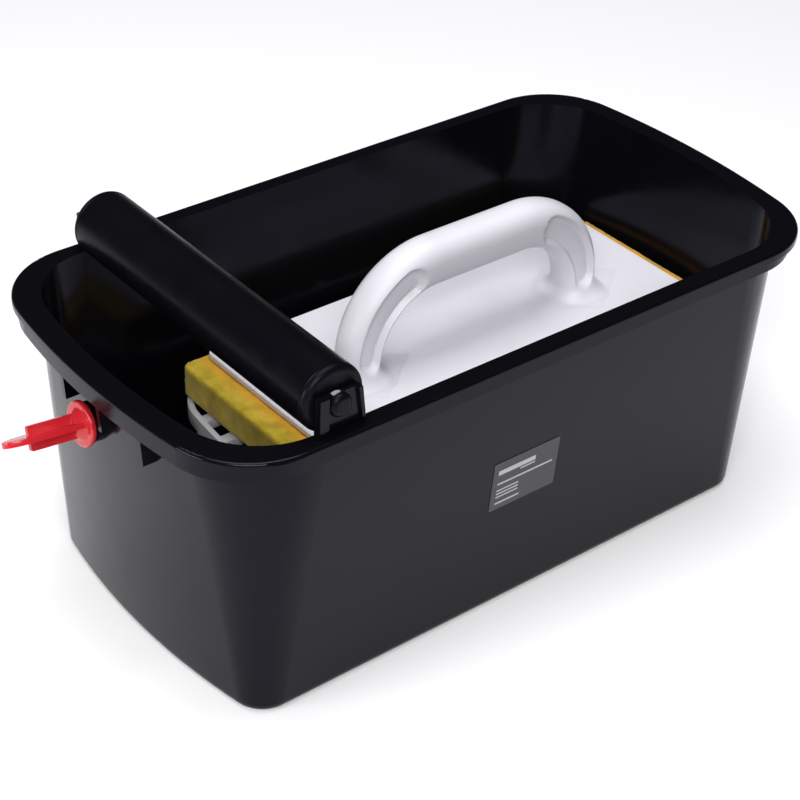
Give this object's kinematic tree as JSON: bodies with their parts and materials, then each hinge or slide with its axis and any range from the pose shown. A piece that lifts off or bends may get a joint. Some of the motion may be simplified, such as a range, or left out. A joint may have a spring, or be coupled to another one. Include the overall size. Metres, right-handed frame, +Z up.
{
  "type": "tile grout wash set",
  "caption": "Rectangular wash tub with a lift-out wringing roller, a drain plug and a drip stand that carries a bow-handled sponge float.",
  "frame": {"origin": "centre of the tub's underside, on the surface that it stands on", "axes": "+Z up, +X along the tub away from the roller and the drain plug, +Y across the tub away from the label"},
  "size_m": [0.4657, 0.2296, 0.21],
  "materials": {
    "black_polypropylene": "smooth injection moulded, glossy",
    "printed_label": null,
    "grey_polypropylene": "injection moulded, satin",
    "red_polypropylene": "injection moulded, glossy",
    "black_rubber": "moulded rubber",
    "steel_rod": "drawn bright bar",
    "black_nylon": "moulded, satin",
    "grey_tube": "extruded tube",
    "black_sleeve": "extruded sleeve, satin",
    "black_caps": "moulded, satin",
    "white_nylon": "turned",
    "white_abs": "injection moulded, semi-gloss",
    "clear_adhesive": "hot-melt film",
    "yellow_sponge": "open-cell foam"
  },
  "bodies": {
    "tub": {"tub": "black_polypropylene", "tub_label": "printed_label"},
    "stand": {"drip_stand": "grey_polypropylene"},
    "float": {"float_body": "white_abs", "float_adhesive": "clear_adhesive", "float_sponge": "yellow_sponge"},
    "axle": {"roller_axle": "steel_rod", "axle_button_near": "black_nylon", "axle_button_far": "black_nylon"},
    "roller": {"roller_core": "grey_tube", "roller_sleeve": "black_sleeve", "roller_cap_near": "black_caps", "roller_cap_far": "black_caps", "roller_bush_near": "white_nylon", "roller_bush_far": "white_nylon"},
    "plug": {"plug_body": "red_polypropylene", "plug_washer": "black_rubber"}
  },
  "joints": [
    {"name": "stand_lift", "type": "slide", "parent": "tub", "child": "stand", "axis": [0, 0, 1], "range_m": [0, 0.08]},
    {"name": "float_lift", "type": "slide", "parent": "stand", "child": "float", "axis": [0, 0, 1], "range_m": [0, 0.13]},
    {"name": "axle_lift", "type": "slide", "parent": "tub", "child": "axle", "axis": [0, 0, 1], "range_m": [0, 0.04]},
    {"name": "roller_spin", "type": "hinge", "parent": "axle", "child": "roller", "pos_m": [-0.138, 0, 0.1914], "axis": [0, 1, 0], "continuous": true},
    {"name": "plug_pull", "type": "slide", "parent": "tub", "child": "plug", "axis": [-0.9945, 0, 0.1045], "range_m": [0, 0.03]}
  ]
}
